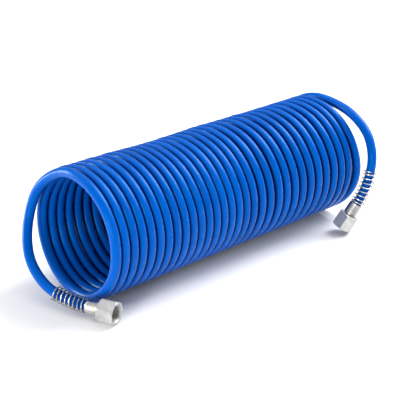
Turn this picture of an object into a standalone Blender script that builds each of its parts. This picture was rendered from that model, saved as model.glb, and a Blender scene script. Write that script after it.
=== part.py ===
"""Recoil air hose: 10 m of 8 x 5 mm polyurethane tube wound in 31 turns, with a G1/4 swivel fitting at each end.

The coil lies on the floor, z = 0, with its axis along X. The hose leaves the top of the coil at both ends.
Units are metres.
"""

import math

import bmesh
import bpy
import numpy as np
from mathutils import Matrix, Vector

GAP = 0.0003  # clearance left between touching pieces

# Hose
HOSE_OD = 0.008
TURNS = 31
COIL_RADIUS = 0.0497  # of the hose's centreline; 31 turns and both tails make 10 m
CLOSE_PITCH = 0.0082  # front half of the coil
LOOSE_PITCH = 0.0099  # rear half, which has opened a little
COIL_START = Vector((-0.125, 0.011, COIL_RADIUS + HOSE_OD / 2))  # on the coil's axis, at the first turn
PITCH_CHANGE = (16.3, 18.3)  # turns over which the pitch grows
COIL_FACE = -0.12395  # of the coil's solid at its front end, on its axis: clear of the front tail
COIL_FACE_LEAN = math.atan(0.075)  # the first turns lean forward at the floor
REAR_CLEARANCE = 0.0055  # from the start of the rear tail to the coil's solid

# Fitting, along its own axis from the hose entry to the mouth of the nut
FERRULE_LENGTH = 0.011
FERRULE_RADIUS = 0.0060
FERRULE_WALL = 0.001
FERRULE_RINGS = 10
RING_DEPTH = 0.0003
NUT_START = 0.0115
NUT_LENGTH = 0.0140
NUT_ACROSS_FLATS = 0.017
NUT_BACK_WALL = 0.0025
THREAD_MINOR_RADIUS = 0.00572  # G1/4, 19 threads per inch
MOUTH_RADIUS = 0.0072
NUT_FACE_RADIUS = 0.0083
NUT_BACK_RADIUS = 0.0075
STEM_BORE_RADIUS = 0.0015
STEM_NECK_RADIUS = 0.0036
STEM_FLANGE_RADIUS = 0.0053
STEM_NOSE_RADIUS = 0.0032
STEM_NOSE_END = 0.0184
BARB_RADIUS = 0.0025
BARBS = 3
O_RING_RADIUS = 0.0034  # of the section's centre
O_RING_SECTION = 0.0005
O_RING_Z = 0.0168

# Spring guard
WIRE_RADIUS = 0.0005
GUARD_RADIUS = 0.0057  # of the wire's centreline
GUARD_LENGTH = 0.0305
GUARD_TURNS = 8.5
GUARD_END_PITCH = 0.0024
GUARD_POINTS_PER_TURN = 12

# Routes of the free ends of the hose, from the coil to the hose entry of the fitting
FRONT_ROUTE = (
    (-0.1256, 0.0338, 0.0968),
    (-0.1295, 0.0506, 0.0824),
    (-0.1344, 0.0563, 0.0654),
    (-0.1414, 0.0529, 0.0491),
    (-0.1480, 0.0430, 0.0341),
    (-0.1503, 0.0298, 0.0220),
    (-0.1493, 0.0132, 0.0140),
    (-0.1451, -0.0035, 0.0108),
    (-0.1400, -0.0214, 0.0100),
)
FRONT_AXIS = Vector((0.363, -0.932, 0)).normalized()
FRONT_CORNER = Vector((0, 0, 1))  # a corner of the nut points this way

REAR_ROUTE = (
    (0.1521, -0.0089, 0.1018),
    (0.1500, -0.0268, 0.0981),
    (0.1476, -0.0440, 0.0893),
    (0.1443, -0.0548, 0.0776),
    (0.1407, -0.0599, 0.0622),
    (0.1352, -0.0594, 0.0434),
    (0.1291, -0.0554, 0.0273),
)
REAR_AXIS = Vector((-0.43, 0.282, -0.858)).normalized()
REAR_CORNER = Vector((-0.70, -0.58, 0.41))
TAIL_STEP = 0.006

ROUND_STEPS = 40
COIL_STEPS = 64


def clear_scene():
    for obj in list(bpy.data.objects):
        bpy.data.objects.remove(obj, do_unlink=True)


def new_collection(name):
    collection = bpy.data.collections.new(name)
    bpy.context.scene.collection.children.link(collection)
    return collection


def material(name, colour, roughness, metallic):
    made = bpy.data.materials.new(name)
    made.use_nodes = True
    shader = made.node_tree.nodes["Principled BSDF"]
    shader.inputs["Base Color"].default_value = (*colour, 1)
    shader.inputs["Roughness"].default_value = roughness
    shader.inputs["Metallic"].default_value = metallic
    made.diffuse_color = (*colour, 1)
    return made


def link(obj, collection, finish=None, parent=None):
    collection.objects.link(obj)
    if finish:
        obj.data.materials.append(finish)
    obj.parent = parent
    return obj


def hide(cutter):
    cutter.hide_render = True
    cutter.display_type = "WIRE"


def turned(name, profile, steps=ROUND_STEPS):
    """A closed outline of (radius, z) points turned about Z. It runs down its outer side."""
    mesh = bpy.data.meshes.new(name)
    corners = [(radius, 0, z) for radius, z in profile]
    edges = [(i, (i + 1) % len(corners)) for i in range(len(corners))]
    mesh.from_pydata(corners, edges, [])
    obj = bpy.data.objects.new(name, mesh)
    screw = obj.modifiers.new("Turn", "SCREW")
    screw.steps = screw.render_steps = steps
    screw.use_merge_vertices = True
    screw.merge_threshold = 1e-5
    screw.use_smooth_shade = True
    return obj


def tube(name, points, radius, sides):
    """A round bar along points; sides is the curve's bevel resolution."""
    curve = bpy.data.curves.new(name, "CURVE")
    curve.dimensions = "3D"
    curve.bevel_depth = radius
    curve.bevel_resolution = sides
    curve.use_fill_caps = True
    spline = curve.splines.new("POLY")
    spline.points.add(len(points) - 1)
    for point, place in zip(spline.points, points):
        point.co = (*place, 1)
    spline.use_smooth = True
    return bpy.data.objects.new(name, curve)


def hermite(start, end, start_slope, end_slope, t):
    """A cubic from start to end, with these slopes there, at t from 0 to 1."""
    return (
        (2 * t**3 - 3 * t**2 + 1) * start
        + (t**3 - 2 * t**2 + t) * start_slope
        + (3 * t**2 - 2 * t**3) * end
        + (t**3 - t**2) * end_slope
    )


def smooth_route(points, start_way, end_way, step):
    """Points every step or so along a smooth curve through points, leaving along start_way, ending along end_way."""
    knots = np.array(points, float)
    count = len(knots)
    spans = np.linalg.norm(np.diff(knots, axis=0), axis=1)
    system = np.zeros((count, count))
    sides = np.zeros((count, 3))
    system[0, 0] = system[-1, -1] = 1
    sides[0] = np.array(start_way) * spans[0]
    sides[-1] = np.array(end_way) * spans[-1]
    for i in range(1, count - 1):
        system[i, i - 1 : i + 2] = (1, 4, 1)
        sides[i] = 3 * (knots[i + 1] - knots[i - 1])
    slopes = np.linalg.solve(system, sides)
    fine = []
    for i in range(count - 1):
        for t in np.linspace(0, 1, 40, endpoint=False):
            fine.append(hermite(knots[i], knots[i + 1], slopes[i], slopes[i + 1], t))
    fine = np.array(fine + [knots[-1]])
    along = np.concatenate([[0], np.cumsum(np.linalg.norm(np.diff(fine, axis=0), axis=1))])
    stations = np.linspace(0, along[-1], max(2, round(along[-1] / step) + 1))
    return np.stack([np.interp(stations, along, fine[:, axis]) for axis in range(3)], axis=1)


def pitch_at(turn):
    first, last = PITCH_CHANGE
    share = min(max((turn - first) / (last - first), 0), 1)
    return CLOSE_PITCH + (LOOSE_PITCH - CLOSE_PITCH) * share * share * (3 - 2 * share)


def coil_point(turn):
    """The hose's centreline after this many turns from the top of the coil's front end."""
    steps = 8 * TURNS
    travel = sum(pitch_at(turn * (i + 0.5) / steps) for i in range(steps)) * turn / steps
    angle = math.radians(90) + math.tau * turn
    offset = (travel, COIL_RADIUS * math.cos(angle), COIL_RADIUS * math.sin(angle))
    return COIL_START + Vector(offset)


def tail_route(end, step):
    """The hose's centreline from the coil to the hose entry of this end's fitting."""
    if end == "front":
        way = coil_point(0) - coil_point(0.001)
        return smooth_route((coil_point(0), *FRONT_ROUTE), way.normalized(), FRONT_AXIS, step)
    way = coil_point(TURNS) - coil_point(TURNS - 0.001)
    return smooth_route((coil_point(TURNS), *REAR_ROUTE), way.normalized(), REAR_AXIS, step)


def coil_cutter():
    """A block whose rear side is the leaning front face of the coil's solid."""
    work = bmesh.new()
    bmesh.ops.create_cube(work, size=1, matrix=Matrix.Diagonal((0.04, 0.14, 0.14, 1)))
    bmesh.ops.translate(work, verts=work.verts, vec=(-0.02, 0, 0))
    mesh = bpy.data.meshes.new("coil_cutter")
    work.to_mesh(mesh)
    work.free()
    block = bpy.data.objects.new("coil_cutter", mesh)
    block.location = (COIL_FACE, COIL_START.y, COIL_START.z)
    block.rotation_euler = (0, COIL_FACE_LEAN, 0)
    return block


def hose_coil(cutter):
    """The outer shape of the wound hose: a hollow drum along X."""
    start, end = COIL_FACE - 0.006, coil_point(TURNS).x - REAR_CLEARANCE
    outer, inner = COIL_RADIUS + HOSE_OD / 2, COIL_RADIUS - HOSE_OD / 2
    drum = turned("hose_coil", ((outer, end), (outer, start), (inner, start), (inner, end)), COIL_STEPS)
    drum.location = (0, COIL_START.y, COIL_START.z)
    drum.rotation_euler = (0, math.radians(90), 0)
    cut = drum.modifiers.new("Front face", "BOOLEAN")
    cut.operation = "DIFFERENCE"
    cut.solver = "EXACT"
    cut.object = cutter
    return drum


def hose_end(name):
    """The length of hose clamped on the barbs."""
    outer, inner = HOSE_OD / 2, BARB_RADIUS + GAP
    start, end = GAP, FERRULE_LENGTH - FERRULE_WALL - GAP
    return turned(name, ((outer, end), (outer, start), (inner, start), (inner, end)))


def ferrule(name):
    """A crimped sleeve with rolled rings, closed round the stem at the nut end."""
    pitch = (FERRULE_LENGTH - 0.001) / FERRULE_RINGS
    outline = [(FERRULE_RADIUS - RING_DEPTH, FERRULE_LENGTH)]
    for ring in range(FERRULE_RINGS):
        top = FERRULE_LENGTH - 0.0005 - ring * pitch
        outline.append((FERRULE_RADIUS - RING_DEPTH, top - 0.15 * pitch))
        outline.append((FERRULE_RADIUS, top - 0.5 * pitch))
    outline.append((FERRULE_RADIUS - RING_DEPTH, 0.0005))
    outline.append((FERRULE_RADIUS - RING_DEPTH, 0))
    sleeve_bore = HOSE_OD / 2 + GAP
    floor = FERRULE_LENGTH - FERRULE_WALL
    stem_hole = BARB_RADIUS + 2 * GAP
    outline += [(sleeve_bore, 0), (sleeve_bore, floor), (stem_hole, floor), (stem_hole, FERRULE_LENGTH)]
    return turned(name, outline)


def stem(name):
    """The hose tail with its barbs, the neck that the nut turns on, and the cone that seals inside the nut."""
    neck = FERRULE_LENGTH + GAP
    flange = NUT_START + NUT_BACK_WALL + GAP
    cone = flange + 0.0012
    groove = O_RING_SECTION + GAP
    groove_floor = O_RING_RADIUS - O_RING_SECTION - GAP
    slope = (STEM_FLANGE_RADIUS - 0.0004 - STEM_NOSE_RADIUS) / (STEM_NOSE_END - cone)

    def cone_radius(z):
        return STEM_NOSE_RADIUS + slope * (STEM_NOSE_END - z)

    outline = [
        (STEM_NOSE_RADIUS, STEM_NOSE_END),
        (cone_radius(O_RING_Z + groove), O_RING_Z + groove),
        (groove_floor, O_RING_Z + groove),
        (groove_floor, O_RING_Z - groove),
        (cone_radius(O_RING_Z - groove), O_RING_Z - groove),
        (STEM_FLANGE_RADIUS, cone),
        (STEM_FLANGE_RADIUS, flange),
        (STEM_NECK_RADIUS, flange),
        (STEM_NECK_RADIUS, neck),
        (BARB_RADIUS + GAP, neck),
        (BARB_RADIUS + GAP, FERRULE_LENGTH - FERRULE_WALL - GAP),
    ]
    barb = 0.0026
    for i in range(BARBS):
        top = FERRULE_LENGTH - FERRULE_WALL - 0.001 - i * barb
        outline.append((BARB_RADIUS - 0.0005, top))
        outline.append((BARB_RADIUS, top - 0.0003))
        outline.append((BARB_RADIUS - 0.0004, top - barb + 0.0002))
    tip = FERRULE_LENGTH - FERRULE_WALL - 0.001 - BARBS * barb
    outline += [(BARB_RADIUS - 0.0006, tip), (STEM_BORE_RADIUS, tip), (STEM_BORE_RADIUS, STEM_NOSE_END)]
    return turned(name, outline)


def nut_blank():
    """The turned blank: everything of the nut but its six flats."""
    back, face = NUT_START, NUT_START + NUT_LENGTH
    wide = NUT_ACROSS_FLATS / math.sqrt(3) + 0.0002
    chamfer = (wide - NUT_FACE_RADIUS) * math.tan(math.radians(30))
    mouth = MOUTH_RADIUS - THREAD_MINOR_RADIUS
    outline = (
        (NUT_FACE_RADIUS, face),
        (wide, face - chamfer),
        (wide, back + 0.0022),
        (wide - 0.0004, back + 0.0011),
        (wide - 0.0011, back + 0.0004),
        (NUT_BACK_RADIUS, back),
        (STEM_NECK_RADIUS + GAP, back),
        (STEM_NECK_RADIUS + GAP, back + NUT_BACK_WALL),
        (THREAD_MINOR_RADIUS, back + NUT_BACK_WALL),
        (THREAD_MINOR_RADIUS, face - mouth),
        (MOUTH_RADIUS, face),
    )
    return turned("nut_blank", outline, 48)


def swivel_nut(name, blank):
    """A hexagon bar cut by the turned blank. Its first corner lies along X."""
    work = bmesh.new()
    radius = NUT_ACROSS_FLATS / math.sqrt(3)
    bmesh.ops.create_cone(
        work, cap_ends=True, segments=6, radius1=radius, radius2=radius, depth=NUT_LENGTH + 0.002
    )
    bmesh.ops.rotate(work, verts=work.verts, cent=(0, 0, 0), matrix=Matrix.Rotation(math.radians(90), 3, "Z"))
    bmesh.ops.translate(work, verts=work.verts, vec=(0, 0, NUT_START + NUT_LENGTH / 2))
    mesh = bpy.data.meshes.new(name)
    work.to_mesh(mesh)
    work.free()
    nut = bpy.data.objects.new(name, mesh)
    cut = nut.modifiers.new("Blank", "BOOLEAN")
    cut.operation = "INTERSECT"
    cut.solver = "EXACT"
    cut.object = blank
    return nut


def o_ring(name):
    section = [math.tau * i / 10 for i in range(10)]
    profile = [
        (O_RING_RADIUS + O_RING_SECTION * math.sin(a), O_RING_Z + O_RING_SECTION * math.cos(a)) for a in section
    ]
    return turned(name, profile, 32)


def spring_guard(name, end):
    """A wire wound round the last stretch of hose, from the ferrule back. Its end turns are wound closer."""
    step = 0.001
    route = [Vector(point) for point in reversed(tail_route(end, step))]
    turns = (0, 1, GUARD_TURNS - 1, GUARD_TURNS)
    lengths = (0, GUARD_END_PITCH, GUARD_LENGTH - GUARD_END_PITCH, GUARD_LENGTH)
    across = (route[1] - route[0]).orthogonal()
    wire = []
    for i in range(round(GUARD_TURNS * GUARD_POINTS_PER_TURN) + 1):
        turn = i / GUARD_POINTS_PER_TURN
        distance = WIRE_RADIUS + GAP + np.interp(turn, turns, lengths)
        place = int(distance / step)
        centre = route[place].lerp(route[place + 1], distance / step - place)
        way = (route[place + 1] - route[place]).normalized()
        across = (across - way * across.dot(way)).normalized()
        side = across * math.cos(math.tau * turn) + way.cross(across) * math.sin(math.tau * turn)
        wire.append(centre + side * GUARD_RADIUS)
    return tube(name, wire, WIRE_RADIUS, 2)


def fitting_frame(name, entry, axis, corner, collection):
    """An empty at the hose entry: Z runs out of the nut's mouth, and X through a corner of the nut."""
    side = (corner - axis * corner.dot(axis)).normalized()
    turn = Matrix((side, axis.cross(side), axis)).transposed()
    frame = bpy.data.objects.new(name, None)
    frame.matrix_world = Matrix.Translation(entry) @ turn.to_4x4()
    frame.empty_display_size = 0.01
    collection.objects.link(frame)
    return frame


def build():
    clear_scene()
    parts = new_collection("recoil_air_hose")
    cutters = new_collection("cutters")
    cutters.hide_render = True
    blue = material("hose_blue", (0.0, 0.13, 0.68), 0.25, 0.0)
    plated = material("nickel_plate", (0.62, 0.62, 0.60), 0.3, 1.0)
    wire = material("spring_steel", (0.68, 0.66, 0.62), 0.3, 1.0)
    rubber = material("seal_rubber", (0.02, 0.02, 0.02), 0.6, 0.0)

    face_cutter = link(coil_cutter(), cutters)
    hide(face_cutter)
    link(hose_coil(face_cutter), parts, blue)
    for end, axis, corner in (("front", FRONT_AXIS, FRONT_CORNER), ("rear", REAR_AXIS, REAR_CORNER)):
        route = tail_route(end, TAIL_STEP)
        link(tube(f"hose_{end}_tail", route, HOSE_OD / 2, 4), parts, blue)
        frame = fitting_frame(f"{end}_fitting", route[-1], axis, corner, parts)
        link(hose_end(f"hose_{end}_end"), parts, blue, frame)
        link(ferrule(f"{end}_ferrule"), parts, plated, frame)
        link(stem(f"{end}_stem"), parts, plated, frame)
        link(o_ring(f"{end}_o_ring"), parts, rubber, frame)
        blank = link(nut_blank(), cutters, None, frame)
        blank.name = f"{end}_nut_blank"
        hide(blank)
        link(swivel_nut(f"{end}_swivel_nut", blank), parts, plated, frame)
        link(spring_guard(f"{end}_spring_guard", end), parts, wire)


build()
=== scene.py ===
"""Looks of the recoil air hose: the wound hose and its free ends, both fittings, floor, light and camera.

Units are metres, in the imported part's frame: the coil lies on the floor, z = 0, with its axis along X.
"""

import math

import bmesh
import bpy
import numpy as np
from mathutils import Matrix, Vector


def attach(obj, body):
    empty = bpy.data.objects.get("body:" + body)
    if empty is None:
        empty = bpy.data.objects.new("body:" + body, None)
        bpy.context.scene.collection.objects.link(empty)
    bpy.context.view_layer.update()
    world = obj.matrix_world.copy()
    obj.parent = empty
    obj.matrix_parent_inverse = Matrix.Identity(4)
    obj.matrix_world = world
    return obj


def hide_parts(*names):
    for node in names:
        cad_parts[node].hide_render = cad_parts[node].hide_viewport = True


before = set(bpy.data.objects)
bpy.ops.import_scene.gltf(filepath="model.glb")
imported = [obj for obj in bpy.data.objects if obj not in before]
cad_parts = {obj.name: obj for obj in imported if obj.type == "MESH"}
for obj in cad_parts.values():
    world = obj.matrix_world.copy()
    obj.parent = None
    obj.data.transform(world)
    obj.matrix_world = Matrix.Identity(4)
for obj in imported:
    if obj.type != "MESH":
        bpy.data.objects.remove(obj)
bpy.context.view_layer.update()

# Hose
HOSE_OD = 0.008
HOSE_SKIN = 0.00407  # visible radius, a little over the hose's own, so that less light shows between turns
TURNS = 31
COIL_RADIUS = 0.0497
CLOSE_PITCH = 0.0082
LOOSE_PITCH = 0.0099
COIL_START = Vector((-0.125, 0.011, COIL_RADIUS + HOSE_OD / 2))
PITCH_CHANGE = (16.3, 18.3)
FRONT_LEAN = 0.0052  # how far the first turn leans forward at the floor
FRONT_LEAN_FADE = (0.7, 10)  # turns over which the lean fades out
FRONT_LEAN_ANGLE = 0.3  # radians from the top of a turn to where it leans least
REAR_LEAN = (  # (turn, metres): how far the rear turns stand off their even spacing
    (18, 0),
    (29.3, -0.0012),
    (29.6, -0.0013),
    (29.85, -0.0025),
    (30.05, -0.0030),
    (30.18, -0.0010),
    (30.30, 0.0018),
    (30.42, -0.0006),
    (30.55, -0.0027),
    (30.75, -0.0014),
    (31, 0),
)
SAG = (0.0006, 0.0012)  # of the turns' tops: everywhere, and more at SAG_TURN
SAG_TURN = 11.5
SAG_SPREAD = 3
RINGS_PER_TURN = 64
HOSE_SIDES = 24
TAIL_STEP = 0.003
CLAMPED_LENGTH = 0.0097  # of hose inside each ferrule
SOCKET_RADIUS = 0.0028  # of the bore, where the stem's barbs spread it
AXIAL_PLAY = (0.00010, 0.00042)  # how far a turn strays along the axis, in the close and the loose half
RADIAL_PLAY = 0.0003
SEED = 11

FRONT_ROUTE = (
    (-0.1256, 0.0338, 0.0968),
    (-0.1295, 0.0506, 0.0824),
    (-0.1344, 0.0563, 0.0654),
    (-0.1414, 0.0529, 0.0491),
    (-0.1480, 0.0430, 0.0341),
    (-0.1503, 0.0298, 0.0220),
    (-0.1493, 0.0132, 0.0140),
    (-0.1451, -0.0035, 0.0108),
    (-0.1400, -0.0214, 0.0100),
)
FRONT_AXIS = Vector((0.363, -0.932, 0)).normalized()
FRONT_CORNER = Vector((0, 0, 1))
REAR_ROUTE = (
    (0.1521, -0.0089, 0.1018),
    (0.1500, -0.0268, 0.0981),
    (0.1476, -0.0440, 0.0893),
    (0.1443, -0.0548, 0.0776),
    (0.1407, -0.0599, 0.0622),
    (0.1352, -0.0594, 0.0434),
    (0.1291, -0.0554, 0.0273),
)
REAR_AXIS = Vector((-0.43, 0.282, -0.858)).normalized()
REAR_CORNER = Vector((-0.70, -0.58, 0.41))

# Fitting, along its own axis from the hose entry to the mouth of the nut
FERRULE_LENGTH = 0.011
FERRULE_RADIUS = 0.0060
FERRULE_RINGS = 10
FERRULE_RING_DEPTH = 0.00028
FERRULE_BORE_RADIUS = 0.0043
FERRULE_COLLAR_RADIUS = 0.0031  # of the hole round the stem
NUT_START = 0.0115
NUT_LENGTH = 0.0140
NUT_ACROSS_FLATS = 0.017
NUT_SEAT = NUT_START + 0.0025
NUT_FACE = NUT_START + NUT_LENGTH
THREAD_PITCH = 0.0254 / 19
THREAD_MINOR_RADIUS = 0.00572
THREAD_MAJOR_RADIUS = 0.00658
MOUTH_RADIUS = 0.0072
NUT_FACE_RADIUS = 0.0083
STEM_BORE_RADIUS = 0.0015
STEM_NECK_RADIUS = 0.0036
STEM_FLANGE_RADIUS = 0.0053
STEM_NOSE_RADIUS = 0.0032
STEM_NOSE_END = 0.0184
BARB_RADIUS = 0.0025
BARB_TIPS = (0.0087, 0.0061, 0.0035)
O_RING_RADIUS = 0.0034  # of the section's centre
O_RING_SECTION = 0.0005
O_RING_Z = 0.0168

# Spring guard
WIRE_RADIUS = 0.0005
GUARD_RADIUS = 0.0057
GUARD_LENGTH = 0.0305
GUARD_TURNS = 8.5
GUARD_END_PITCH = 0.0024
GUARD_START = 0.0007


# ---------------------------------------------------------------- routes


def hermite(start, end, start_slope, end_slope, t):
    """A cubic from start to end, with these slopes there, at t from 0 to 1."""
    return (
        (2 * t**3 - 3 * t**2 + 1) * start
        + (t**3 - 2 * t**2 + t) * start_slope
        + (3 * t**2 - 2 * t**3) * end
        + (t**3 - t**2) * end_slope
    )


def smooth_route(points, start_way, end_way, step):
    """Points every step or so along a smooth curve through points, from start_way round to end_way."""
    knots = np.array(points, float)
    count = len(knots)
    spans = np.linalg.norm(np.diff(knots, axis=0), axis=1)
    system = np.zeros((count, count))
    sides = np.zeros((count, 3))
    system[0, 0] = system[-1, -1] = 1
    sides[0] = np.array(start_way) * spans[0]
    sides[-1] = np.array(end_way) * spans[-1]
    for i in range(1, count - 1):
        system[i, i - 1 : i + 2] = (1, 4, 1)
        sides[i] = 3 * (knots[i + 1] - knots[i - 1])
    slopes = np.linalg.solve(system, sides)
    fine = []
    for i in range(count - 1):
        for t in np.linspace(0, 1, 40, endpoint=False):
            fine.append(hermite(knots[i], knots[i + 1], slopes[i], slopes[i + 1], t))
    fine = np.array(fine + [knots[-1]])
    along = np.concatenate([[0], np.cumsum(np.linalg.norm(np.diff(fine, axis=0), axis=1))])
    stations = np.linspace(0, along[-1], max(2, round(along[-1] / step) + 1))
    return np.stack([np.interp(stations, along, fine[:, axis]) for axis in range(3)], axis=1)


def ease(share):
    share = np.clip(share, 0, 1)
    return share * share * (3 - 2 * share)


def looseness(turn):
    """0 in the close front half of the coil, 1 in the loose rear half."""
    first, last = PITCH_CHANGE
    return ease((turn - first) / (last - first))


def between(pair, share):
    return pair[0] + (pair[1] - pair[0]) * share


def pitch_at(turn):
    return between((CLOSE_PITCH, LOOSE_PITCH), looseness(turn))


def lean_at(turn):
    """How far the hose stands off its even helix, along the axis, after this many turns."""
    start, end = FRONT_LEAN_FADE
    if turn < end:
        fade = 1 - ease((turn - start) / (end - start))
        return -FRONT_LEAN * fade * (1 - math.cos(math.tau * turn - FRONT_LEAN_ANGLE)) / 2
    turns, leans = np.transpose(REAR_LEAN)
    slopes = np.gradient(leans, turns)
    slopes[0] = slopes[-1] = 0
    i = int(np.clip(np.searchsorted(turns, turn) - 1, 0, len(turns) - 2))
    span = turns[i + 1] - turns[i]
    share = np.clip((turn - turns[i]) / span, 0, 1)
    return float(hermite(leans[i], leans[i + 1], slopes[i] * span, slopes[i + 1] * span, share))


def coil_point(turn):
    """The even coil's centreline after this many turns from the top of its front end."""
    steps = 8 * TURNS
    travel = sum(pitch_at(turn * (i + 0.5) / steps) for i in range(steps)) * turn / steps
    angle = math.radians(90) + math.tau * turn
    return COIL_START + Vector((travel, COIL_RADIUS * math.cos(angle), COIL_RADIUS * math.sin(angle)))


def stray(turns, amounts):
    """A value per turn, eased from each turn's own amount to the next one's."""
    base = np.minimum(turns.astype(int), len(amounts) - 2)
    return amounts[base] + (amounts[base + 1] - amounts[base]) * ease(turns - base)


def coil_line():
    """The wound hose's centreline, each turn a little out of place."""
    random = np.random.default_rng(SEED)
    turns = np.linspace(0, TURNS, TURNS * RINGS_PER_TURN + 1)
    even = np.array([coil_point(turn) for turn in turns])
    play = between(AXIAL_PLAY, looseness(np.arange(TURNS + 1)))
    ends = np.ones(TURNS + 1)
    ends[0] = ends[-1] = 0
    shift = random.uniform(-1, 1, TURNS + 1) * play * ends
    tilt = random.uniform(-0.5, 0.5, TURNS + 1) * play * ends
    swell = random.uniform(-1, 0.6, TURNS + 1) * RADIAL_PLAY * ends
    angle = math.radians(90) + math.tau * turns
    upper = (1 + np.sin(angle)) / 2
    even[:, 0] += [lean_at(turn) for turn in turns]
    even[:, 0] += stray(turns, shift) + stray(turns, tilt) * np.cos(angle)
    even[:, 1] += stray(turns, swell) * upper * np.cos(angle)
    even[:, 2] += stray(turns, swell) * upper * np.sin(angle)
    sag = SAG[0] + SAG[1] * np.exp(-(((turns - SAG_TURN) / SAG_SPREAD) ** 2))
    even[:, 2] -= sag * upper**2 * ease(turns / 3) * ease((TURNS - turns) / 3)
    return even


def tail_line(end, step):
    """The hose's centreline from the coil to the hose entry of this end's fitting."""
    if end == "front":
        way = coil_point(0) - coil_point(0.001)
        return smooth_route((coil_point(0), *FRONT_ROUTE), way.normalized(), FRONT_AXIS, step)
    way = coil_point(TURNS) - coil_point(TURNS - 0.001)
    return smooth_route((coil_point(TURNS), *REAR_ROUTE), way.normalized(), REAR_AXIS, step)


def hose_line():
    """The whole hose's centreline, from inside the front ferrule to inside the rear one."""
    front, rear = tail_line("front", TAIL_STEP), tail_line("rear", TAIL_STEP)
    depths = np.linspace(CLAMPED_LENGTH, 0, 4)[:-1, None]
    inside_front = front[-1] + depths * np.array(FRONT_AXIS)
    inside_rear = rear[-1] + depths[::-1] * np.array(REAR_AXIS)
    return np.vstack([inside_front, front[::-1], coil_line()[1:-1], rear, inside_rear])


# ---------------------------------------------------------------- shapes


def new_object(name, mesh):
    obj = bpy.data.objects.new(name, mesh)
    bpy.context.scene.collection.objects.link(obj)
    return obj


def loft(name, rings, ring_v=None, loop=False):
    """A skin over rings of points. loop joins the last ring to the first; without it both ends are capped.

    With ring_v, the UV map holds the turn round a ring in u and ring_v in v."""
    rings = np.array(rings)
    count, sides = rings.shape[:2]
    bm = bmesh.new()
    verts = [[bm.verts.new(point) for point in ring] for ring in rings]
    uv_layer = bm.loops.layers.uv.new("UVMap") if ring_v is not None else None
    for i in range(count if loop else count - 1):
        j = (i + 1) % count
        for k in range(sides):
            m = (k + 1) % sides
            face = bm.faces.new((verts[i][k], verts[i][m], verts[j][m], verts[j][k]))
            if uv_layer:
                corners = ((k, i), (k + 1, i), (k + 1, j), (k, j))
                for corner, (u, v) in zip(face.loops, corners):
                    corner[uv_layer].uv = (u / sides, ring_v[v])
    if not loop:
        bm.faces.new(verts[0])
        bm.faces.new(verts[-1])
    bmesh.ops.recalc_face_normals(bm, faces=bm.faces)
    mesh = bpy.data.meshes.new(name)
    bm.to_mesh(mesh)
    bm.free()
    mesh.shade_smooth()
    mesh.set_sharp_from_angle(angle=math.radians(35))
    return new_object(name, mesh)


def lathe(name, profile, steps=72):
    """A closed outline of (radius, z) points turned about Z."""
    angles = np.linspace(0, math.tau, steps, endpoint=False)
    rings = [[(r * math.cos(a), r * math.sin(a), z) for a in angles] for r, z in profile]
    return loft(name, rings, loop=True)


def frames_along(line):
    """Two directions across the line at each point, carried along it without twist."""
    ways = np.gradient(line, axis=0)
    ways /= np.linalg.norm(ways, axis=1)[:, None]
    side = np.array(Vector(ways[0]).orthogonal().normalized())
    sides, ups = [], []
    for way in ways:
        side = side - way * side.dot(way)
        side /= np.linalg.norm(side)
        sides.append(side)
        ups.append(np.cross(way, side))
    return np.array(sides), np.array(ups)


def rings_along(line, radii, sides):
    """A ring of points round each point of the line."""
    across, up = frames_along(line)
    angles = np.linspace(0, math.tau, sides, endpoint=False)
    circle = np.cos(angles)[None, :, None] * across[:, None] + np.sin(angles)[None, :, None] * up[:, None]
    return line[:, None] + circle * np.array(radii)[:, None, None]


def lengths_along(line):
    return np.concatenate([[0], np.cumsum(np.linalg.norm(np.diff(line, axis=0), axis=1))])


def hose_mesh(name, line):
    """The hose as a tube, bored at both ends for the stems."""
    outer = rings_along(line, np.full(len(line), HOSE_SKIN), HOSE_SIDES)
    bores = rings_along(line, np.full(len(line), SOCKET_RADIUS), HOSE_SIDES)
    along = lengths_along(line)
    rings = np.concatenate([bores[4::-1], outer, bores[:-6:-1]])
    return loft(name, rings, np.concatenate([along[4::-1], along, along[:-6:-1]]))


def fitting_matrix(entry, axis, corner):
    """Z runs out of the nut's mouth, and X through a corner of the nut."""
    side = (corner - axis * corner.dot(axis)).normalized()
    turn = Matrix((side, axis.cross(side), axis)).transposed()
    return Matrix.Translation(entry) @ turn.to_4x4()


def rounded(profile, radius, keep=()):
    """A closed outline with each corner cut back by a small arc of three points."""
    points = [Vector(point) for point in profile]
    made = []
    for i, corner in enumerate(points):
        before, after = points[i - 1] - corner, points[(i + 1) % len(points)] - corner
        reach = min(radius, 0.4 * before.length, 0.4 * after.length)
        if i in keep or reach < 1e-6:
            made.append(tuple(corner))
            continue
        start, end = corner + before.normalized() * reach, corner + after.normalized() * reach
        made += [tuple(start), tuple((start + end) / 4 + corner / 2), tuple(end)]
    return made


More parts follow.
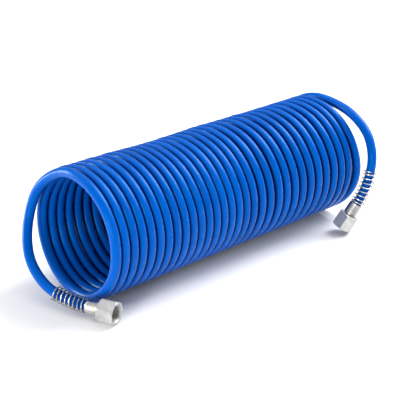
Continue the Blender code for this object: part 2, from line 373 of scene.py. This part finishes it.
def ferrule(name):
    """A sleeve with rolled rings, closed round the stem at the nut end and turned in at the hose end."""
    pitch = (FERRULE_LENGTH - 0.0016) / FERRULE_RINGS
    outline = [
        (FERRULE_COLLAR_RADIUS, FERRULE_LENGTH),
        (FERRULE_RADIUS - 0.0006, FERRULE_LENGTH),
        (FERRULE_RADIUS - 0.0003, FERRULE_LENGTH - 0.0002),
    ]
    for z in np.arange(0, FERRULE_RINGS * pitch + 1e-9, pitch / 8):
        depth = FERRULE_RING_DEPTH * (0.5 + 0.5 * math.cos(math.tau * z / pitch)) ** 1.6
        outline.append((FERRULE_RADIUS - depth, FERRULE_LENGTH - 0.0006 - z))
    outline += [
        (FERRULE_RADIUS - 0.0002, 0.0006),
        (FERRULE_RADIUS - 0.0003, 0.0003),
        (FERRULE_RADIUS - 0.0005, 0.00005),
        (FERRULE_RADIUS - 0.0007, 0),
        (FERRULE_BORE_RADIUS, 0.0002),
        (FERRULE_BORE_RADIUS, FERRULE_LENGTH - 0.0010),
        (FERRULE_COLLAR_RADIUS, FERRULE_LENGTH - 0.0010),
    ]
    return lathe(name, outline)


def stem(name):
    """The hose tail with its barbs, the neck that the nut turns on, and the sealing cone with its bore."""
    outline = [
        (STEM_NOSE_RADIUS, STEM_NOSE_END),
        (0.00357, 0.0176),
        (0.0026, 0.0176),
        (0.0026, 0.0160),
        (0.00431, 0.0160),
        (STEM_FLANGE_RADIUS, 0.0155),
        (STEM_FLANGE_RADIUS, 0.0143),
        (STEM_NECK_RADIUS, 0.0143),
        (STEM_NECK_RADIUS, 0.0113),
        (0.0028, 0.0113),
        (0.0028, 0.0097),
    ]
    for tip in BARB_TIPS:
        outline += [(0.0020, tip + 0.0003), (BARB_RADIUS, tip), (0.0021, tip - 0.0021)]
    outline[-1] = (0.0019, 0.0012)
    outline += [
        (STEM_BORE_RADIUS, 0.0012),
        (STEM_BORE_RADIUS, STEM_NOSE_END - 0.0008),
        (0.0019, STEM_NOSE_END),
    ]
    return lathe(name, rounded(outline, 0.00012))


def o_ring(name):
    angles = np.linspace(0, math.tau, 20, endpoint=False)
    section = [(math.sin(angle) * O_RING_SECTION, math.cos(angle) * O_RING_SECTION) for angle in angles]
    return lathe(name, [(O_RING_RADIUS + out, O_RING_Z + up) for out, up in section])


def bore_radius(angle, z):
    """The nut's bore: a right-handed thread of round grooves, run out at the seat, cut away at the mouth."""
    phase = (z / THREAD_PITCH - angle / math.tau) % 1
    groove = float(ease((1 - abs(2 * phase - 1) - 0.1) / 0.8))
    depth = (THREAD_MAJOR_RADIUS - THREAD_MINOR_RADIUS) * float(ease((z - NUT_SEAT - 0.0008) / 0.0008))
    countersink = MOUTH_RADIUS - (NUT_FACE - z)
    return max(THREAD_MINOR_RADIUS + groove * depth, countersink)


def nut_blank(steps=96):
    """The turned and tapped blank: everything of the nut but its six flats."""
    wide = NUT_ACROSS_FLATS / math.sqrt(3) + 0.0002
    outer = [
        (0.00392, NUT_SEAT),
        (0.0039, NUT_SEAT - 0.0001),
        (0.0039, NUT_START + 0.0001),
        (0.0040, NUT_START),
        (0.0074, NUT_START),
        (0.0078, NUT_START + 0.0001),
        (0.0084, NUT_START + 0.0003),
        (0.0090, NUT_START + 0.0007),
        (0.0094, NUT_START + 0.0012),
        (0.0097, NUT_START + 0.0018),
        (wide, NUT_START + 0.0024),
        (wide, NUT_FACE - 0.0010),
        (0.0085, NUT_FACE - 0.0002),
        (NUT_FACE_RADIUS, NUT_FACE),
        (MOUTH_RADIUS + 0.0001, NUT_FACE),
    ]
    stations = np.arange(NUT_FACE - 0.0001, NUT_SEAT, -THREAD_PITCH / 11)
    rings = []
    for angle in np.linspace(0, math.tau, steps, endpoint=False):
        profile = outer + [(bore_radius(angle, z), z) for z in stations] + [(0.0056, NUT_SEAT)]
        rings.append([(r * math.cos(angle), r * math.sin(angle), z) for r, z in profile])
    return loft("nut_blank", np.transpose(np.array(rings), (1, 0, 2)), loop=True)


def nut_mesh():
    """A hexagon bar with softened edges, cut by the tapped blank."""
    bm = bmesh.new()
    radius = NUT_ACROSS_FLATS / math.sqrt(3)
    bmesh.ops.create_cone(
        bm, cap_ends=True, segments=6, radius1=radius, radius2=radius, depth=NUT_LENGTH + 0.002
    )
    bmesh.ops.rotate(bm, verts=bm.verts, cent=(0, 0, 0), matrix=Matrix.Rotation(math.radians(90), 3, "Z"))
    bmesh.ops.translate(bm, verts=bm.verts, vec=(0, 0, NUT_START + NUT_LENGTH / 2))
    upright = [e for e in bm.edges if abs(e.verts[0].co.z - e.verts[1].co.z) > 0.001]
    bmesh.ops.bevel(bm, geom=upright, offset=0.00022, segments=3, profile=0.5, affect="EDGES")
    bar_mesh = bpy.data.meshes.new("nut_bar")
    bm.to_mesh(bar_mesh)
    bm.free()
    bar, blank = new_object("nut_bar", bar_mesh), nut_blank()
    cut = bar.modifiers.new("Blank", "BOOLEAN")
    cut.operation = "INTERSECT"
    cut.solver = "EXACT"
    cut.object = blank
    graph = bpy.context.evaluated_depsgraph_get()
    mesh = bpy.data.meshes.new_from_object(bar.evaluated_get(graph))
    for helper in (bar, blank):
        bpy.data.objects.remove(helper, do_unlink=True)
    mesh.shade_smooth()
    mesh.set_sharp_from_angle(angle=math.radians(28))
    return mesh


def spring_guard(name, end):
    """A wire wound round the last stretch of hose, from the ferrule back, with closer end turns."""
    step = 0.001
    route = tail_line(end, step)[::-1]
    across, up = frames_along(route)
    turns = np.linspace(0, GUARD_TURNS, round(GUARD_TURNS * 32) + 1)
    distance = GUARD_START + np.interp(
        turns,
        (0, 1, GUARD_TURNS - 1, GUARD_TURNS),
        (0, GUARD_END_PITCH, GUARD_LENGTH - GUARD_END_PITCH, GUARD_LENGTH),
    )
    place = distance / step
    stations = np.arange(len(route))

    def read(values):
        return np.stack([np.interp(place, stations, values[:, axis]) for axis in range(3)], axis=1)

    angle = (math.tau * turns)[:, None]
    line = read(route) + GUARD_RADIUS * (np.cos(angle) * read(across) + np.sin(angle) * read(up))
    return loft(name, rings_along(line, np.full(len(line), WIRE_RADIUS), 10), lengths_along(line))


# ---------------------------------------------------------------- materials


class Shader:
    """A Principled material and short ways to add nodes to it."""

    def __init__(self, name, colour, roughness, metallic=0.0):
        self.material = bpy.data.materials.new(name)
        self.material.use_nodes = True
        self.tree = self.material.node_tree
        self.shader = self.tree.nodes["Principled BSDF"]
        self.shader.inputs["Base Color"].default_value = (*colour, 1)
        self.shader.inputs["Roughness"].default_value = roughness
        self.shader.inputs["Metallic"].default_value = metallic
        self.coordinates = self.tree.nodes.new("ShaderNodeTexCoord")

    def node(self, kind, inputs=(), **settings):
        made = self.tree.nodes.new(kind)
        for key, value in settings.items():
            setattr(made, key, value)
        for key, value in dict(inputs).items():
            if isinstance(value, bpy.types.NodeSocket):
                self.tree.links.new(value, made.inputs[key])
            else:
                made.inputs[key].default_value = value
        return made

    def math(self, operation, first, second=0.0):
        return self.node("ShaderNodeMath", {0: first, 1: second}, operation=operation).outputs[0]

    def noise(self, vector, scale, detail=2.0, roughness=0.5):
        inputs = {"Vector": vector, "Scale": scale, "Detail": detail, "Roughness": roughness}
        return self.node("ShaderNodeTexNoise", inputs).outputs["Fac"]

    def spread(self, value, low, high, to_low, to_high):
        inputs = {"Value": value, "From Min": low, "From Max": high, "To Min": to_low, "To Max": to_high}
        return self.node("ShaderNodeMapRange", inputs).outputs["Result"]

    def blend(self, share, first, second):
        mix = self.node("ShaderNodeMix", data_type="RGBA")
        for key, value in ((0, share), (6, first), (7, second)):
            if isinstance(value, bpy.types.NodeSocket):
                self.tree.links.new(value, mix.inputs[key])
            else:
                mix.inputs[key].default_value = value if key == 0 else (*value, 1)
        return mix.outputs[2]

    def scaled(self, vector, scale):
        return self.node("ShaderNodeMapping", {"Vector": vector, "Scale": scale}).outputs[0]

    def bump(self, height, distance, strength=1.0, normal=None):
        inputs = {"Height": height, "Distance": distance, "Strength": strength}
        if normal:
            inputs["Normal"] = normal
        return self.node("ShaderNodeBump", inputs).outputs[0]

    def set(self, key, value):
        if isinstance(value, bpy.types.NodeSocket):
            self.tree.links.new(value, self.shader.inputs[key])
        else:
            self.shader.inputs[key].default_value = value


def polyurethane():
    """Glossy blue hose with the fine lengthwise lines of its extrusion, and painted shade that darkens its
    colour where turns crowd together.
    """
    made = Shader("hose_blue", (0.0, 0.05, 0.4), 0.25)
    uv = made.node("ShaderNodeSeparateXYZ", {0: made.coordinates.outputs["UV"]})
    turn = made.math("MULTIPLY", uv.outputs[0], math.tau)
    along = uv.outputs[1]
    round_hose = made.node(
        "ShaderNodeCombineXYZ",
        {0: made.math("COSINE", turn), 1: made.math("SINE", turn), 2: along},
    ).outputs[0]
    lines = made.noise(made.scaled(round_hose, (5, 5, 2)), 1.0, 2.0, 0.5)
    batches = made.noise(made.scaled(round_hose, (0.5, 0.5, 14)), 1.0, 2.0)
    haze = made.noise(made.coordinates.outputs["Object"], 60.0, 3.0, 0.6)
    deep = made.blend(made.spread(batches, 0.3, 0.7, 0, 1), (0.0, 0.066, 0.35), (0.0, 0.084, 0.43))
    streaked = made.blend(made.spread(lines, 0.55, 0.8, 0, 0.25), deep, (0.0, 0.110, 0.52))
    # Painted shade: ambient occlusion blends the base colour towards near-black blue where the turns crowd
    # each other.
    open_to_light = made.node("ShaderNodeAmbientOcclusion", {"Distance": 0.007}, samples=8).outputs["AO"]
    unshaded_share = made.spread(open_to_light, 0.35, 0.95, 0, 1)
    made.set("Base Color", made.blend(unshaded_share, (0.0, 0.006, 0.095), streaked))
    made.set("Roughness", made.spread(haze, 0.3, 0.7, 0.24, 0.34))
    made.set("IOR", 1.3)
    made.set("Specular Tint", (0.0, 0.5, 1.0, 1))
    made.set("Coat Weight", 0.04)
    made.set("Coat Roughness", 0.06)
    made.set("Normal", made.bump(lines, 0.00001, 0.35))
    return made.material


def nickel(name, dark, light, roughness, speckle):
    """Nickel plate with a satin speckle, slightly cloudy."""
    made = Shader(name, light, roughness[0], 1.0)
    place = made.coordinates.outputs["Object"]
    cloud = made.noise(place, 260.0, 3.0, 0.6)
    grain = made.noise(place, 2600.0, 3.0, 0.7)
    edge = made.node("ShaderNodeNewGeometry").outputs["Pointiness"]
    clouded, grainy = made.spread(cloud, 0.3, 0.7, 0, 0.7), made.spread(grain, 0.35, 0.65, -0.15, 0.3)
    tone = made.math("ADD", clouded, grainy)
    worn = made.math("ADD", tone, made.spread(edge, 0.52, 0.6, 0, 0.5))
    made.set("Base Color", made.blend(made.math("MINIMUM", worn, 1.0), dark, light))
    made.set("Roughness", made.spread(grain, 0.3, 0.7, *roughness))
    made.set("Normal", made.bump(grain, speckle, 0.6, made.bump(cloud, 0.00004, 0.25)))
    return made.material


def spring_wire():
    """Bright drawn wire with fine lengthwise draw marks."""
    made = Shader("spring_steel", (0.68, 0.66, 0.62), 0.22, 1.0)
    marks = made.noise(made.scaled(made.coordinates.outputs["UV"], (30, 220, 1)), 1.0, 3.0)
    bright = made.spread(marks, 0.3, 0.7, 0, 1)
    made.set("Base Color", made.blend(bright, (0.42, 0.40, 0.37), (0.66, 0.65, 0.63)))
    made.set("Roughness", made.spread(marks, 0.3, 0.7, 0.16, 0.34))
    made.set("Normal", made.bump(marks, 0.00001, 0.5))
    return made.material


def nitrile():
    made = Shader("seal_rubber", (0.02, 0.02, 0.02), 0.6)
    dust = made.noise(made.coordinates.outputs["Object"], 1800.0, 3.0)
    dusty = made.spread(dust, 0.4, 0.7, 0, 1)
    made.set("Base Color", made.blend(dusty, (0.012, 0.012, 0.013), (0.05, 0.05, 0.05)))
    made.set("Roughness", made.spread(dust, 0.3, 0.7, 0.5, 0.72))
    made.set("Normal", made.bump(dust, 0.00002, 0.5))
    return made.material


def floor_paint():
    made = Shader("studio_floor", (0.84, 0.84, 0.84), 0.6)
    mottle = made.noise(made.coordinates.outputs["Object"], 6.0, 3.0)
    made.set("Base Color", made.blend(mottle, (0.82, 0.82, 0.82), (0.85, 0.85, 0.85)))
    return made.material


# ---------------------------------------------------------------- stage


def add_camera():
    data = bpy.data.cameras.new("camera")
    data.lens = 96.15
    data.sensor_width = 36
    data.clip_start, data.clip_end = 0.01, 50
    camera = bpy.data.objects.new("camera", data)
    camera.location = (-0.5527, -0.6022, 0.3990)
    camera.rotation_euler = (math.radians(66.88), 0, math.radians(-42.2))
    bpy.context.scene.collection.objects.link(camera)
    bpy.context.scene.camera = camera


def add_light(name, place, target, size, power):
    data = bpy.data.lights.new(name, "AREA")
    data.shape = "RECTANGLE"
    data.size, data.size_y = size
    data.energy = power
    light = bpy.data.objects.new(name, data)
    light.location = place
    light.rotation_euler = (Vector(target) - Vector(place)).to_track_quat("-Z", "Y").to_euler()
    bpy.context.scene.collection.objects.link(light)


def add_stage():
    bm = bmesh.new()
    bmesh.ops.create_grid(bm, x_segments=8, y_segments=8, size=6)
    mesh = bpy.data.meshes.new("studio_floor")
    bm.to_mesh(mesh)
    bm.free()
    floor = new_object("studio_floor", mesh)
    floor.location.z = -0.0002
    mesh.materials.append(floor_paint())
    add_world()
    bpy.context.scene.view_settings.view_transform = "Standard"
    bpy.context.scene.view_settings.look = "None"
    middle = (0, 0, 0.05)
    add_light("ceiling", (0.3, 0.3, 2.5), (0.3, 0.3, 0), (3.0, 3.0), 30)
    add_light("key", (1.0, -0.2, 1.1), middle, (1.0, 1.2), 36)
    add_light("left_strip", (-0.9, 1.2, 0.30), middle, (0.3, 0.9), 22)
    add_light("front_strip", (-0.55, -1.35, 0.35), middle, (0.2, 0.9), 4)
    add_light("mouth_strip", (-1.15, -0.45, 0.25), middle, (0.25, 0.6), 11)


def add_world():
    """A studio tent: white overhead, dimmer towards the horizon."""
    world = bpy.data.worlds.new("studio")
    world.use_nodes = True
    tree = world.node_tree
    background = tree.nodes["Background"]
    place = tree.nodes.new("ShaderNodeTexCoord")
    height = tree.nodes.new("ShaderNodeSeparateXYZ")
    shade = tree.nodes.new("ShaderNodeMapRange")
    shade.inputs["From Min"].default_value = 0.0
    shade.inputs["From Max"].default_value = 0.9
    shade.inputs["To Min"].default_value = 0.15
    shade.inputs["To Max"].default_value = 0.5
    tree.links.new(place.outputs["Generated"], height.inputs[0])
    tree.links.new(height.outputs[2], shade.inputs["Value"])
    tree.links.new(shade.outputs["Result"], background.inputs["Strength"])
    background.inputs["Color"].default_value = (1, 1, 1, 1)
    bpy.context.scene.world = world


# ---------------------------------------------------------------- the model


def place_fitting(end, route_end, axis, corner, nut, finishes):
    """This end's five pieces, each riding its CAD body and standing for its CAD node."""
    matrix = fitting_matrix(Vector(route_end), axis, corner)
    plate, nut_plate, wire, rubber = finishes
    pieces = []
    for part, obj, finish, slot in (
        ("ferrule", ferrule(f"{end}_sleeve"), plate, "plated_metal"),
        ("stem", stem(f"{end}_hose_tail"), plate, "plated_metal"),
        ("o_ring", o_ring(f"{end}_seal"), rubber, "seal"),
        ("swivel_nut", new_object(f"{end}_nut", nut), nut_plate, "plated_metal"),
        ("spring_guard", spring_guard(f"{end}_guard", end), wire, "guard_wire"),
    ):
        if part != "spring_guard":
            obj.matrix_world = matrix
        if not obj.data.materials:
            obj.data.materials.append(finish)
        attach(obj, f"{end}_nut" if part == "swivel_nut" else "hose")
        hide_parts(f"{end}_{part}")
        pieces.append(obj)
    return pieces


def build():
    add_camera()
    line = hose_line()
    hose = hose_mesh("hose", line)
    hose.data.materials.append(polyurethane())
    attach(hose, "hose")
    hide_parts("hose_coil", "hose_front_tail", "hose_rear_tail", "hose_front_end", "hose_rear_end")
    nut = nut_mesh()
    finishes = (
        nickel("nickel_sleeve", (0.42, 0.41, 0.39), (0.64, 0.64, 0.62), (0.2, 0.36), 0.000010),
        nickel("nickel_nut", (0.38, 0.38, 0.38), (0.56, 0.56, 0.55), (0.40, 0.58), 0.000020),
        spring_wire(),
        nitrile(),
    )
    place_fitting("front", FRONT_ROUTE[-1], FRONT_AXIS, FRONT_CORNER, nut, finishes)
    rear = place_fitting("rear", REAR_ROUTE[-1], REAR_AXIS, REAR_CORNER, nut, finishes)
    add_stage()


build()
